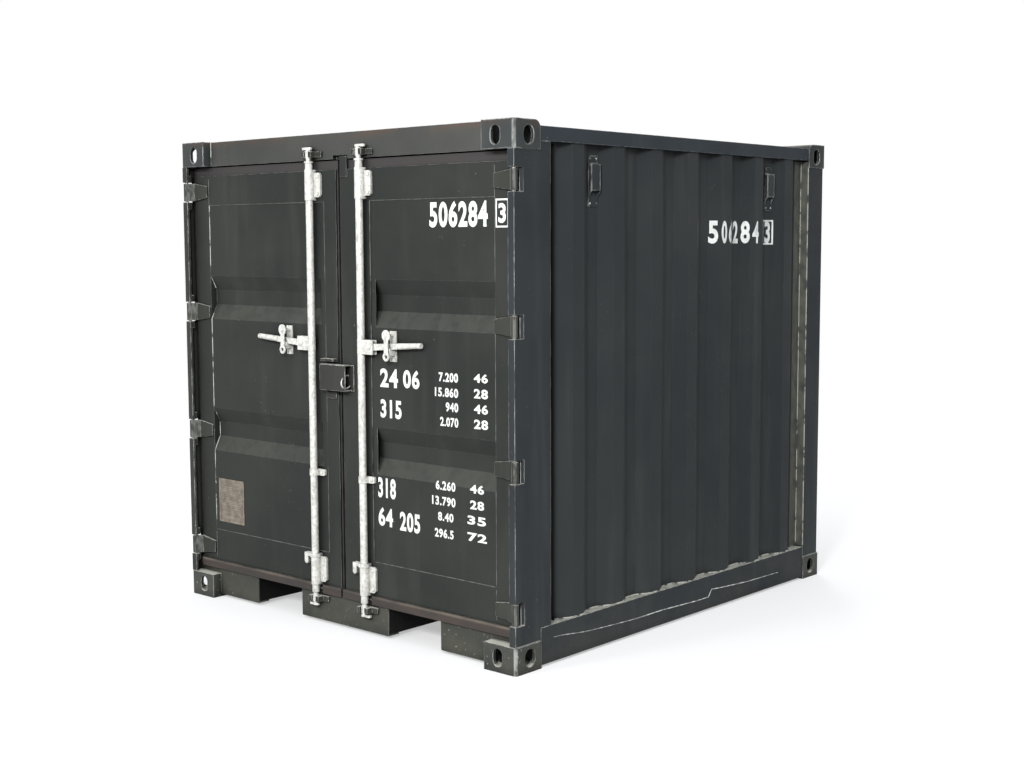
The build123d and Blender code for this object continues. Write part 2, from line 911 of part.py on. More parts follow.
def lock_rod():
    """A tube with a locking cam and a lobe at each end, and the fork that carries the handle."""
    body = Pos(rod_x, rod_y, (rod_z + rod_top) / 2) * Cylinder(rod_radius, rod_top - rod_z)
    half = cam_length / 2
    for middle, end, up in zip(cam_middles(), (rod_top, rod_z), (1, -1)):
        lobe_z = middle + up * (cam_height / 2 + lobe_gap + lobe_height / 2)
        tip = lobe_z + up * lobe_height / 2
        body += Pos(rod_x, rod_y, (end + tip) / 2) * Cylinder(neck_radius, abs(tip - end))
        for z, reach, tall in ((middle, half, cam_height), (lobe_z, lobe_reach, lobe_height)):
            low_y = rod_y - cam_width / 2
            lump = block(rod_x - half, rod_x + reach, low_y, low_y + cam_width, z - tall / 2, z + tall / 2)
            body += chamfer(lump.edges().filter_by(Axis.Z), cam_chamfer)
    collar_z = rod_top - collar_height / 2
    body += Pos(rod_x, rod_y, collar_z) * Cylinder(collar_radius, collar_height)
    body += Pos(rod_x, rod_y, handle_z) * Cylinder(hub_radius, hub_half_height * 2)
    bar_y0 = rod_y - handle_bar / 2 - fork_gap
    bar_y1 = rod_y + handle_bar / 2 + fork_gap
    fork_x = rod_x + fork_reach
    fork_low = handle_z - hub_half_height
    fork_high = handle_z + hub_half_height
    for y0, y1 in ((bar_y0 - fork_plate, bar_y0), (bar_y1, bar_y1 + fork_plate)):
        body += block(rod_x, fork_x, y0, y1, fork_low, fork_high)
    body -= block(rod_x + hub_radius + 2, fork_x + 1, bar_y0, bar_y1, fork_low - 1, fork_high + 1)
    pin_front = bar_y0 - fork_plate
    pin_back = bar_y1 + fork_plate
    return body + rod_along_y(handle_pivot_x, handle_z, handle_pin_radius, pin_front, pin_back)


def bar_bottom(x):
    """Height of the underside of the handle's flat bar."""
    half = handle_bar_height / 2
    rise = handle_tip_rise / (handle_tip_x - handle_pivot_x) * (grip_x - handle_pivot_x)
    end = handle_z + rise - half * grip_taper
    return handle_z - half + (end - handle_z + half) * (x - handle_pivot_x) / (grip_x - handle_pivot_x)


def handle():
    """The lever: a flat bar with a pin hole and a round grip that rises to the tip."""
    y0 = rod_y - handle_bar / 2
    y1 = rod_y + handle_bar / 2
    half = handle_bar_height / 2
    slope = handle_tip_rise / (handle_tip_x - handle_pivot_x)
    grip_z = handle_z + slope * (grip_x - handle_pivot_x)
    tip_z = handle_z + handle_tip_rise
    eye = rod_along_y(handle_pivot_x, handle_z, half, y0, y1)
    outline = [
        (handle_pivot_x, handle_z - half),
        (grip_x, grip_z - half * grip_taper),
        (grip_x, grip_z + half * grip_taper),
        (handle_pivot_x, handle_z + half),
    ]
    bar_face = Plane.XZ * make_face(Polyline(*outline, close=True))
    bar = Pos(0, rod_y, 0) * extrude(bar_face, amount=handle_bar / 2, both=True)
    grip_length = ((handle_tip_x - grip_x) ** 2 + (tip_z - grip_z) ** 2) ** 0.5
    grip_plane = Plane(
        origin=((grip_x + handle_tip_x) / 2, rod_y, (grip_z + tip_z) / 2),
        x_dir=(0, 1, 0),
        z_dir=(handle_tip_x - grip_x, 0, tip_z - grip_z),
    )
    root = RegularPolygon(grip_root_radius, grip_sides)
    tip = RegularPolygon(grip_tip_radius, grip_sides)
    grip = loft([Pos(0, 0, -grip_length / 2) * root, Pos(0, 0, grip_length / 2) * tip])
    lever = eye + bar + grip_plane * grip
    bore = handle_pin_radius + running_clearance
    return lever - rod_along_y(handle_pivot_x, handle_z, bore, y0 - 1, y1 + 1)


def retainer():
    """The plate that carries the handle in a cradle, with the boss for the catch."""
    face = leaf_y + panel_setback - seat
    slot_y = rod_y - handle_bar / 2 - cradle_lip_gap
    front = slot_y - cradle_wall
    cradle_top = bar_bottom(retainer_x - cradle_half) - seat
    plate = block(
        retainer_x - retainer_half_width,
        retainer_x + retainer_half_width,
        face - retainer_plate,
        face,
        retainer_z[0],
        retainer_z[1],
    )
    cradle = block(
        retainer_x - cradle_half,
        retainer_x + cradle_half,
        front,
        face - retainer_plate,
        cradle_top - cradle_drop,
        cradle_top,
    )
    lip = block(
        retainer_x - cradle_half,
        retainer_x + cradle_half,
        front,
        slot_y,
        cradle_top,
        cradle_top + cradle_lip,
    )
    boss = rod_along_y(
        retainer_x, catch_pin_z, catch_boss_radius, catch_y + catch_plate + seat, face - retainer_plate
    )
    pin = rod_along_y(retainer_x, catch_pin_z, catch_pin_radius, catch_y - 1, face - retainer_plate)
    return plate + cradle + lip + boss + pin


def catch_disc(z, radius, y0, y1):
    face = Plane.XZ * Pos(retainer_x, z, 0) * RegularPolygon(radius, catch_sides)
    return Pos(0, y0, 0) * extrude(face, amount=y1 - y0, dir=(0, 1, 0))


def catch():
    """The swinging plate that keeps the handle in its cradle, round at both ends."""
    y0 = catch_y
    y1 = catch_y + catch_plate
    head = catch_disc(catch_pin_z, catch_head_radius, y0, y1)
    waist = block(
        retainer_x - catch_waist_half,
        retainer_x + catch_waist_half,
        y0,
        y1,
        catch_foot_z,
        catch_pin_z,
    )
    foot = catch_disc(catch_foot_z, catch_foot_radius, y0, y1)
    plate = head + waist + foot
    bore = catch_pin_radius + running_clearance
    plate -= rod_along_y(retainer_x, catch_pin_z, bore, y0 - 1, y1 + 1)
    return plate - catch_disc(catch_foot_z, catch_eye_radius, y0 - 1, y1 + 1)


# Lock box on the right leaf, and its bar and tab on the left leaf
def lock_box():
    """A folded cover, open at one end and at its back, with a flange beside the open end."""
    back = leaf_y - seat
    x0, x1 = box_x
    z0, z1 = box_z
    body = block(x0, x1, box_front_y, back, z0, z1)
    body -= block(x0 + box_wall, x1 + 1, box_front_y + box_wall, back + 1, z0 + box_wall, z1 - box_wall)
    flange = block(leaf_inner_x + box_overlap_gap, box_flange_x, back - box_wall, back, z0, z1)
    body += flange
    gap_x = leaf_inner_x + box_overlap_gap
    return body - block(x0 - 1, gap_x, back - box_overlap_gap, back + 1, z0 - 1, z1 + 1)


def lock_box_bar():
    back = leaf_y - seat
    bar = block(box_bar_x[0], box_bar_x[1], back - box_bar_depth, back, box_bar_z[0], box_bar_z[1])
    tab_y = back - box_tab_thickness
    tab = block(box_tab_x[0], box_tab_x[1], tab_y, back, box_tab_z[0], box_tab_z[1])
    return [bar, tab]


def data_plate():
    face = leaf_y + panel_setback - seat
    return block(plate_x[0], plate_x[1], face - plate_thickness, face, plate_z[0], plate_z[1])


os.makedirs("parts", exist_ok=True)

write_castings()

sides = (("right", 1, lambda shape: shape), ("left", -1, mirrored_x))
for side, sign, place in sides:
    write(f"{side}_front_post", place(front_post()))
    write(f"{side}_rear_post", place(rear_post()))
    write(f"{side}_top_rail", place(top_rail()))
    write(f"{side}_bottom_rail", place(bottom_rail()))
    write(f"{side}_side_panel", place(side_panel()))

write("hinge_pins", *hinge_pins())
write("door_header", door_header())
write("door_sill", *door_sill())
write("rear_header", rear_header())
write("rear_sill", *rear_sill())
write("end_wall", end_wall())
write("roof_panel", roof_panel())
write("floor_boards", floor_boards())
write("cross_members", *cross_members())
write("fork_tunnels", *fork_tunnels())
write("keepers", *keepers())
write("side_vents", *side_vents())

stiles = {"right": right_inner_stile, "left": left_inner_stile}
frames = {side: leaf_frame(stile) for side, stile in stiles.items()}
frames["right"] += notch_tab()
for side, sign, place in sides:
    write(f"{side}_door_frame", place(frames[side]))
    write(f"{side}_door_panel", place(leaf_panel(stiles[side])))
    write(f"{side}_door_gasket", place(leaf_gasket()))
    write(f"{side}_hinge_blades", *[place(blade) for blade in hinge_blades()])
    write(f"{side}_rod_guides", *rod_guides(sign))
    write(f"{side}_handle_retainer", place(retainer()))
    write(f"{side}_lock_rod", place(lock_rod()))
    write(f"{side}_handle", place(handle()))
    write(f"{side}_catch", place(catch()))

write("lock_box", lock_box())
write("lock_box_bar", *lock_box_bar())
write("data_plate", data_plate())
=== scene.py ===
import bpy, json, math
from mathutils import Matrix, Vector


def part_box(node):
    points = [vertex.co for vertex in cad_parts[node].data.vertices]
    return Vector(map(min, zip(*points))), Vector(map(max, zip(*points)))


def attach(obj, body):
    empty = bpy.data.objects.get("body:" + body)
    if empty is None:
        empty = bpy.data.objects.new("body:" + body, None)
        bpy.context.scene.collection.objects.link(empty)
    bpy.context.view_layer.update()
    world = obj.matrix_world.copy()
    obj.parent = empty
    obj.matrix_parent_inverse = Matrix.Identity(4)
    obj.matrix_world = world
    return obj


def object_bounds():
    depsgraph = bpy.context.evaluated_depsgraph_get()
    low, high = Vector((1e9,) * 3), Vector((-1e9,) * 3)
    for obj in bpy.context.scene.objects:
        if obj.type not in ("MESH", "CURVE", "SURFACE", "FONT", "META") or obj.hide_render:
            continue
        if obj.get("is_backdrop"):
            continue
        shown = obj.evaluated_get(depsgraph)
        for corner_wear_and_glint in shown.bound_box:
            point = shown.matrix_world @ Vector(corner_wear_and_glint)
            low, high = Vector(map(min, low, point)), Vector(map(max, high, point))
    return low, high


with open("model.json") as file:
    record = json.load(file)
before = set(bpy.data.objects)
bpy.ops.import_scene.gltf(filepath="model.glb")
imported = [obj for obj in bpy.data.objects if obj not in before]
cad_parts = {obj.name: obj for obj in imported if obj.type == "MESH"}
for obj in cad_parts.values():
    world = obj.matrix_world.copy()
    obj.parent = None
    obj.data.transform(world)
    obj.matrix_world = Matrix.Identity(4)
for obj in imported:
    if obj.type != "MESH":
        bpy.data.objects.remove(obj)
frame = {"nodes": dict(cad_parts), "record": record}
cad_low, cad_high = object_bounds()
nodes = frame["nodes"]
slot_of = {part["node"]: part["material_slot"] for part in frame["record"]["subparts"]}


# ---- Corner castings -----------------------------------------------------
# Eight hollow steel castings close the corners of the frame. They carry the
# one coat of satin anthracite that the whole container has, sprayed on, and
# worn through to bright metal where hooks and forks touch them. Their edges
# are lightened besides as a painted highlight.

def screen(red, green, blue):
    """A colour as it reads on a screen, 0 to 255, turned into the light the shader mixes."""
    def light(level):
        level = level / 255
        return level / 12.92 if level <= 0.04045 else ((level + 0.055) / 1.055) ** 2.4
    return (light(red), light(green), light(blue), 1)


def bare(name):
    """A new finish, its nodes, its shader and the place of a point on the object."""
    finish = bpy.data.materials.new(name)
    finish.use_nodes = True
    tree = finish.node_tree
    place = tree.nodes.new("ShaderNodeTexCoord").outputs["Object"]
    return finish, tree, tree.nodes["Principled BSDF"], place


def noise(tree, place, scale, detail=3, stretch=(1, 1, 1), rough=0.55):
    mapping = tree.nodes.new("ShaderNodeMapping")
    mapping.inputs["Scale"].default_value = stretch
    tree.links.new(place, mapping.inputs["Vector"])
    field = tree.nodes.new("ShaderNodeTexNoise")
    field.inputs["Scale"].default_value = scale
    field.inputs["Detail"].default_value = detail
    field.inputs["Roughness"].default_value = rough
    tree.links.new(mapping.outputs["Vector"], field.inputs["Vector"])
    return field.outputs["Fac"]


def span(tree, value, start, end, low=0.0, high=1.0):
    """Spreads the part of a value from start to end over low to high."""
    node = tree.nodes.new("ShaderNodeMapRange")
    node.interpolation_type = "SMOOTHSTEP"
    node.inputs["From Min"].default_value = start
    node.inputs["From Max"].default_value = end
    node.inputs["To Min"].default_value = low
    node.inputs["To Max"].default_value = high
    tree.links.new(value, node.inputs["Value"])
    return node.outputs["Result"]


def fill(tree, sockets, values):
    """Puts each value in its socket: plain numbers and colours as they are, others by a link."""
    for socket, value in zip(sockets, values):
        if isinstance(value, (int, float, tuple)):
            socket.default_value = value
        else:
            tree.links.new(value, socket)


def sums(tree, action, first, second):
    node = tree.nodes.new("ShaderNodeMath")
    node.operation = action
    fill(tree, node.inputs, (first, second))
    return node.outputs[0]


def times(tree, product, *factors):
    for factor in factors:
        product = sums(tree, "MULTIPLY", product, factor)
    return product


def tint(tree, share, under, over):
    """Lays one colour over another, by a share of 0 to 1."""
    node = tree.nodes.new("ShaderNodeMix")
    node.data_type = "RGBA"
    tree.links.new(share, node.inputs[0])
    fill(tree, node.inputs[6:8], (under, over))
    return node.outputs[2]


def parts(tree, vector):
    """The three parts of a place or of a direction."""
    axes = tree.nodes.new("ShaderNodeSeparateXYZ")
    tree.links.new(vector, axes.inputs[0])
    return axes.outputs


def edges(tree, radius):
    """How near a point is to a sharp edge, and the rounded direction of the surface there."""
    bevel = tree.nodes.new("ShaderNodeBevel")
    bevel.samples = 4
    bevel.inputs["Radius"].default_value = radius
    face = tree.nodes.new("ShaderNodeNewGeometry")
    dot = tree.nodes.new("ShaderNodeVectorMath")
    dot.operation = "DOT_PRODUCT"
    tree.links.new(bevel.outputs["Normal"], dot.inputs[0])
    tree.links.new(face.outputs["Normal"], dot.inputs[1])
    return span(tree, dot.outputs["Value"], 0.985, 0.86), bevel.outputs["Normal"]


def corner_shade(tree, shade_reach):
    """Painted shade in creases, gaps and under overhangs: none in the open, full deep inside."""
    hidden = tree.nodes.new("ShaderNodeAmbientOcclusion")
    hidden.samples = 6
    hidden.inputs["Distance"].default_value = shade_reach
    return span(tree, hidden.outputs["AO"], 0.74, 0.26)


def skin(tree, shader, tone, rough, metallic=0.0):
    tree.links.new(tone, shader.inputs["Base Color"])
    tree.links.new(rough, shader.inputs["Roughness"])
    shader.inputs["Metallic"].default_value = metallic


def bumps(tree, shader, normal, *layers):
    """Stacks bumps, each given by its height, strength and depth in metres."""
    for height, strength, depth in layers:
        bump = tree.nodes.new("ShaderNodeBump")
        bump.inputs["Strength"].default_value = strength
        bump.inputs["Distance"].default_value = depth
        tree.links.new(height, bump.inputs["Height"])
        if normal is not None:
            tree.links.new(normal, bump.inputs["Normal"])
        normal = bump.outputs["Normal"]
    tree.links.new(normal, shader.inputs["Normal"])


def paint(name, deep, pale, wear_and_glint=0.6, dust_and_top_light=0.5, grime=0.5, edge=0.0035, rust=0.0,
          corner_wear_and_glint=0.0, sheet=0.0, chips=26, shade_reach=0.1, scars=0.0):
    """Satin paint over steel that drifts between two tones and has weathered, with light and
    shade painted in.

    worn is how bright the edges are, rubbed to bare steel and lightened further as a painted
    highlight, edge how wide that band is, chips how finely it breaks up, and corner adds the
    same to rounded vertical edges. dusty sets the run-off streaks and the pale tone of ledges
    and upward slopes, which is settled dust and painted light from above. grime sets the
    splashes low down, rust the scabs under the roof line, scars the scratches near the ground,
    sheet the sag of a thin sheet, and reach how far the painted shade comes out of gaps and
    from under overhangs.
    """
    finish, tree, shader, place = bare(name)
    height = parts(tree, place)["Z"]
    look = parts(tree, tree.nodes.new("ShaderNodeNewGeometry").outputs["Normal"])
    drift = span(tree, noise(tree, place, 1.4, 4), 0.34, 0.66)
    tone = tint(tree, drift, screen(*deep), screen(*pale))

    streak = span(tree, noise(tree, place, 9, 4, (1, 1, 0.09)), 0.5, 0.78)
    tone = tint(tree, times(tree, streak, 0.18 * dust_and_top_light), tone, screen(118, 120, 114))
    low = span(tree, height, 0.30, 0.03)
    cloud = span(tree, noise(tree, place, 5, 5), 0.3, 0.72)
    tone = tint(tree, times(tree, low, cloud, 0.6 * grime), tone, screen(98, 96, 86))
    if rust:
        roof_line = span(tree, height, 2.215, 2.262)
        scab = span(tree, noise(tree, place, 7, 5, (0.5, 0.5, 2)), 0.42, 0.66)
        tone = tint(tree, times(tree, roof_line, scab, rust), tone, screen(104, 74, 60))
    # Painted shade: the tone falls towards near black in creases, gaps and under overhangs.
    tone = tint(tree, times(tree, corner_shade(tree, shade_reach), 0.9), tone, screen(8, 8, 8))

    # Ledges and upward slopes, such as the lower slopes of the door recesses, are paler: settled
    # dust, and painted light from above.
    slopes = times(tree, span(tree, look["Z"], 0.2, 0.42), 0.1)
    ledge_dust_and_light = sums(tree, "MAXIMUM", span(tree, look["Z"], 0.7, 0.95), slopes)
    settled = span(tree, noise(tree, place, 24, 4), 0.25, 0.6, 0.45, 1.0)
    tone = tint(tree, times(tree, ledge_dust_and_light, settled, 1.3 * dust_and_top_light), tone, screen(186, 185, 174))
    fleck = span(tree, noise(tree, place, 110, 2), 0.72, 0.76)
    patch = span(tree, noise(tree, place, 4, 2), 0.52, 0.62)
    tone = tint(tree, times(tree, fleck, patch, 0.7 * grime), tone, screen(196, 196, 188))
    if scars:
        scratch = span(tree, noise(tree, place, 95, 4, (1, 1, 0.8)), 0.66, 0.7)
        tone = tint(tree, times(tree, scratch, low, scars), tone, screen(190, 190, 182))

    # Edges and rounded vertical edges are rubbed to bright steel, and lightened further as a
    # painted highlight.
    near, rounded = edges(tree, edge)
    if corner_wear_and_glint:
        across = sums(tree, "ABSOLUTE", times(tree, look["X"], look["Y"]), 0)
        turned = times(tree, span(tree, across, 0.16, 0.42), corner_wear_and_glint)
        near = sums(tree, "MAXIMUM", near, turned)
    breaks = span(tree, noise(tree, place, chips, 4, (1, 1, 0.35)), 0.38, 0.6, 0.12, 1.0)
    tone = tint(tree, times(tree, near, breaks, wear_and_glint), tone, screen(206, 208, 203))

    skin(tree, shader, tone, span(tree, noise(tree, place, 3, 5), 0.3, 0.7, 0.42, 0.56))
    shader.inputs["Specular IOR Level"].default_value = 0.1
    sag = noise(tree, place, 2.6, 2)
    peel = noise(tree, place, 420, 2)
    bumps(tree, shader, rounded, (sag, sheet, 0.006), (peel, 0.06, 0.0006))
    return finish


def dress(finish, *wanted):
    """Gives a finish to the nodes of the solid model that have these names or slots."""
    for name, node in nodes.items():
        if name in wanted or slot_of[name] in wanted:
            node.data.materials.clear()
            node.data.materials.append(finish)


casting_paint = paint("casting_paint", (54, 57, 57), (76, 78, 75), wear_and_glint=0.95, dust_and_top_light=1.0,
                      grime=0.9, edge=0.0055, rust=0.4, corner_wear_and_glint=0.6, chips=44, scars=0.7)
crown_paint = paint("crown_paint", (53, 56, 57), (68, 71, 71), wear_and_glint=1.0, dust_and_top_light=0.45,
                    grime=0.7, edge=0.008, rust=0.3, corner_wear_and_glint=0.6, chips=30)
dress(casting_paint, "casting")
dress(crown_paint, "top_front_castings", "top_rear_castings")


# ---- Posts, rails, header and sill ---------------------------------------
# The frame is folded and pressed mild steel. Its members and the castings are
# joined by hand-run weld beads, rippled and painted over, and the header
# meets the top castings on a line of caulk.

# The rails and posts are painted bluer than the doors, though the container has one coat: that
# blue is painted light, the sky light that falls on the sides.
frame_paint = paint("frame_paint", (43, 47, 50), (52, 56, 59), wear_and_glint=1.0, dust_and_top_light=0.6,
                    grime=0.4, edge=0.005, rust=0.3, chips=34)
rail_paint = paint("rail_paint", (47, 53, 59), (56, 62, 67), wear_and_glint=0.9, dust_and_top_light=0.28,
                   grime=0.6, edge=0.004, rust=0.3, chips=34)
post_paint = paint("post_paint", (43, 48, 51), (54, 58, 59), wear_and_glint=0.8, dust_and_top_light=0.6,
                   grime=0.6, edge=0.004, rust=0.3, shade_reach=0.03)
header_paint = paint("header_paint", (67, 68, 66), (80, 80, 77), wear_and_glint=0.7, dust_and_top_light=0.3,
                     grime=0.4, edge=0.003, rust=0.4)
sill_paint = paint("sill_paint", (60, 62, 58), (72, 73, 67), wear_and_glint=0.7, grime=0.8,
                   edge=0.003, scars=0.5)
chipped_paint = paint("chipped_paint", (46, 47, 45), (60, 60, 57), wear_and_glint=1.0, dust_and_top_light=1.0,
                      grime=0.3, edge=0.006, chips=50, shade_reach=0.05)
dress(frame_paint, "frame")
dress(rail_paint, "right_top_rail", "left_top_rail", "rear_header")
dress(post_paint, "right_rear_post", "left_rear_post")
dress(header_paint, "door_header")
dress(sill_paint, "door_sill")
dress(chipped_paint, "left_front_post")


def settle(piece, name, body, finish):
    """Puts a piece's place into its mesh, gives it its finish and hangs it on its body."""
    bpy.ops.object.select_all(action="DESELECT")
    piece.select_set(True)
    bpy.context.view_layer.objects.active = piece
    bpy.ops.object.transform_apply(location=True, rotation=True, scale=True)
    piece.name = name
    piece.data.name = name
    piece.data.materials.clear()
    piece.data.materials.append(finish)
    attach(piece, body)


def join(pieces):
    bpy.ops.object.select_all(action="DESELECT")
    for piece in pieces:
        piece.select_set(True)
    bpy.context.view_layer.objects.active = pieces[0]
    bpy.ops.object.join()
    return pieces[0]


def pick(piece, kind, wanted):
    """Selects the edges or faces that pass a test, and leaves the piece in edit mode."""
    bpy.ops.object.mode_set(mode="EDIT")
    bpy.ops.mesh.select_mode(type=kind)
    bpy.ops.mesh.select_all(action="DESELECT")
    bpy.ops.object.mode_set(mode="OBJECT")
    for element in piece.data.edges if kind == "EDGE" else piece.data.polygons:
        element.select = wanted(element)
    bpy.ops.object.mode_set(mode="EDIT")


bead_cloud = bpy.data.textures.new("bead_ripple", "CLOUDS")
bead_cloud.noise_scale = 0.006


def bead(start, end, radius=0.003, ripple=0.0016, step=0.008):
    """One run of weld: a slim round bar along the seam, cut into short rings and rippled."""
    start, end = Vector(start), Vector(end)
    run = end - start
    bpy.ops.object.select_all(action="DESELECT")
    bpy.ops.mesh.primitive_cylinder_add(vertices=8, radius=radius, depth=run.length)
    bar = bpy.context.object

    def lengthwise(edge):
        first, last = (bar.data.vertices[i].co for i in edge.vertices)
        return abs(first.z - last.z) > run.length / 2

    pick(bar, "EDGE", lengthwise)
    bpy.ops.mesh.subdivide(number_cuts=max(2, min(int(run.length / step), 99)))
    bpy.ops.object.mode_set(mode="OBJECT")
    bpy.ops.object.shade_smooth()
    turn = run.to_track_quat("Z", "Y").to_matrix().to_4x4()
    bar.matrix_world = Matrix.Translation((start + end) / 2) @ turn
    bpy.ops.object.transform_apply(location=True, rotation=True, scale=True)
    wave = bar.modifiers.new("ripple", "DISPLACE")
    wave.texture = bead_cloud
    wave.texture_coords = "LOCAL"
    wave.strength = ripple
    bpy.ops.object.modifier_apply(modifier="ripple")
    return bar


casting_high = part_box("bottom_front_castings")[1]
casting_back, casting_top = casting_high.y, casting_high.z
casting_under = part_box("top_front_castings")[0].z
casting_side = 0.922
frame_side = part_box("right_front_post")[1].x
rear_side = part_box("right_rear_post")[1].y
rear_flange = 0.962
sill_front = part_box("door_sill")[0].y
front_flange = 1.07
bottom_run = (0.012, 0.118)
top_run = (2.178, 2.238)

seams = []
for side in (-1, 1):
    x, inner = side * frame_side, side * casting_side
    for z in (casting_top, casting_under):
        seams.append(bead((x, cad_low.y + 0.010, z), (x, casting_back - 0.002, z)))
        seams.append(bead((x, rear_side - 0.004, z), (x, 0.002 - casting_back, z)))
        seams.append(bead((x, rear_side, z), (side * rear_flange, rear_side, z)))
    seams.append(bead((inner, sill_front, 0.02), (inner, sill_front, casting_top)))
    seams.append(bead((inner, sill_front, casting_top),
                      (side * front_flange, sill_front, casting_top)))
    for y in (-casting_back, casting_back):
        for z0, z1 in (bottom_run, top_run):
            seams.append(bead((x, y, z0), (x, y, z1)))
settle(join(seams), "frame_welds", "container", frame_paint)


def sealer(name, pale, start, end):
    """Sealer painted over by the spray, which shows pale again where the steel flexes."""
    finish, tree, shader, place = bare(name)
    crack = span(tree, noise(tree, place, 30, 4, (1, 1, 0.6)), start, end)
    tone = tint(tree, crack, screen(62, 64, 62), screen(*pale))
    skin(tree, shader, tone, span(tree, crack, 0, 1, 0.5, 0.7))
    bumps(tree, shader, None, (noise(tree, place, 160, 3), 0.3, 0.001))
    return finish


caulk = sealer("caulk", (186, 187, 180), 0.44, 0.54)
header_low, header_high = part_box("door_header")
header_seams = [bead((side * casting_side, header_low.y, header_low.z),
                     (side * casting_side, header_low.y, header_high.z)) for side in (-1, 1)]
settle(join(header_seams), "header_seams", "container", caulk)


# ---- Rail scrape ---------------------------------------------------------
# One long scrape down to bright steel crosses the right bottom rail, broken
# by a step where the load that made it jumped.

bare_steel, tree, shader, place = bare("bare_steel")
gouge = span(tree, noise(tree, place, 30, 4), 0.4, 0.6)
tone = tint(tree, gouge, screen(140, 142, 140), screen(226, 227, 222))
skin(tree, shader, tone, span(tree, noise(tree, place, 60, 3), 0.3, 0.7, 0.35, 0.6), 0.3)
bumps(tree, shader, None, (noise(tree, place, 200, 3), 0.2, 0.0005))

scrape_x = frame_side - 0.0008
turns = ((-0.974, 0.116), (-0.918, 0.1129), (-0.762, 0.0954), (-0.627, 0.0881),
         (-0.402, 0.079), (-0.196, 0.0791), (0.085, 0.0687), (0.182, 0.0689),
         (0.208, 0.1018), (0.281, 0.0958), (0.522, 0.0826), (0.813, 0.0782))
scrape = []
for (y0, z0), (y1, z1) in zip(turns, turns[1:]):
    width = 0.0028 if -0.42 < y0 < 0.3 else 0.0018
    scrape.append(bead((scrape_x, y0, z0), (scrape_x, y1, z1), width, 0.0016))
settle(join(scrape), "rail_scrape", "container", bare_steel)


# ---- Underside and floor -------------------------------------------------
# Folded cross members and fork tunnels under a black coat carry the floor of
# oiled plywood. It lies in three sheets with tarred joints and is screwed
# down to each cross member in rows.

under_paint = paint("under_paint", (9, 9, 9), (16, 15, 14), wear_and_glint=0.3, dust_and_top_light=0.2, grime=0.0)
dress(under_paint, "fork_tunnels", "cross_members")

floor_ply, tree, shader, place = bare("floor_ply")
grain = noise(tree, place, 6, 6, (9, 0.7, 1), 0.62)
tone = tint(tree, span(tree, grain, 0.36, 0.66), screen(116, 82, 50), screen(168, 128, 84))
scuff = span(tree, noise(tree, place, 8, 5), 0.52, 0.72)
tone = tint(tree, times(tree, scuff, 0.4), tone, screen(96, 84, 70))
skin(tree, shader, tone, span(tree, grain, 0.3, 0.7, 0.5, 0.75))
bumps(tree, shader, None, (grain, 0.2, 0.0012))
dress(floor_ply, "floor")

pin_steel, tree, shader, place = bare("pin_steel")
turned = noise(tree, place, 200, 3, (1, 1, 4))
tone = tint(tree, turned, screen(120, 118, 112), screen(170, 170, 166))
skin(tree, shader, tone, span(tree, turned, 0.3, 0.7, 0.3, 0.5), 0.9)
bumps(tree, shader, None, (turned, 0.1, 0.0004))


def dome(centre, direction, radius, height, sides=12):
    """A screw or rivet head: a short disc drawn in and up into a dome."""
    bpy.ops.object.select_all(action="DESELECT")
    bpy.ops.mesh.primitive_cylinder_add(vertices=sides, radius=radius, depth=height * 0.5)
    head = bpy.context.object
    pick(head, "FACE", lambda face: face.normal.z > 0.9)
    for share, rise in ((0.22, 0.34), (0.3, 0.16)):
        bpy.ops.mesh.inset(thickness=radius * share, depth=0)
        bpy.ops.transform.translate(value=(0, 0, height * rise))
    bpy.ops.object.mode_set(mode="OBJECT")
    centre, direction = Vector(centre), Vector(direction)
    turn = direction.to_track_quat("Z", "Y").to_matrix().to_4x4()
    head.matrix_world = Matrix.Translation(centre + direction * height * 0.25) @ turn
    bpy.ops.object.transform_apply(location=True, rotation=True, scale=True)
    return head


def slab(centre, size):
    """A thin flat strip, such as a joint or a smear."""
    bpy.ops.object.select_all(action="DESELECT")
    bpy.ops.mesh.primitive_cube_add(size=1)
    strip = bpy.context.object
    strip.data.transform(Matrix.Translation(centre) @ Matrix.Diagonal((*size, 1)))
    return strip


board_low, board_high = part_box("floor_boards")
screw_rows, first_row, row_pitch = 7, -0.878, 0.3
screw_columns, first_column, column_pitch = 8, -0.945, 0.27
heads = []
for row in range(screw_rows):
    for column in range(screw_columns):
        x, y = first_column + column * column_pitch, first_row + row * row_pitch
        heads.append(dome((x, y, board_high.z - 0.0006), (0, 0, 1), 0.006, 0.0015, 10))
settle(join(heads), "floor_screws", "container", pin_steel)

board_middle = (board_low.x + board_high.x) / 2
board_width = board_high.x - board_low.x - 0.004
joints = [slab((board_middle, y, board_high.z), (board_width, 0.004, 0.0012))
          for y in (-0.378, 0.522)]
settle(join(joints), "floor_joints", "container", under_paint)


# ---- Side walls, end wall and roof ---------------------------------------
# Thin corrugated sheets, sprayed with the frame. A run of weld follows the
# folds of each side sheet on the bottom rail, and pale sealer closes it
# against the rear post. It shows wherever the paint flakes off. The weld is
# given the pale sealer too, which also paints in the light on the ledge of
# the bottom rail in the valleys.

wall_paint = paint("wall_paint", (46, 50, 52), (54, 57, 58), wear_and_glint=0.4, dust_and_top_light=0.6,
                   grime=0.4, edge=0.0025, sheet=0.05, shade_reach=0.08)
roof_paint = paint("roof_paint", (48, 52, 54), (62, 65, 65), wear_and_glint=0.5, dust_and_top_light=0.28,
                   edge=0.0025, rust=0.3, sheet=0.05)
dress(wall_paint, "panel")
dress(roof_paint, "roof_panel")
sheet_sealer = sealer("sheet_sealer", (176, 177, 168), 0.4, 0.52)
smear_sealer = sealer("smear_sealer", (96, 96, 86), 0.2, 0.8)

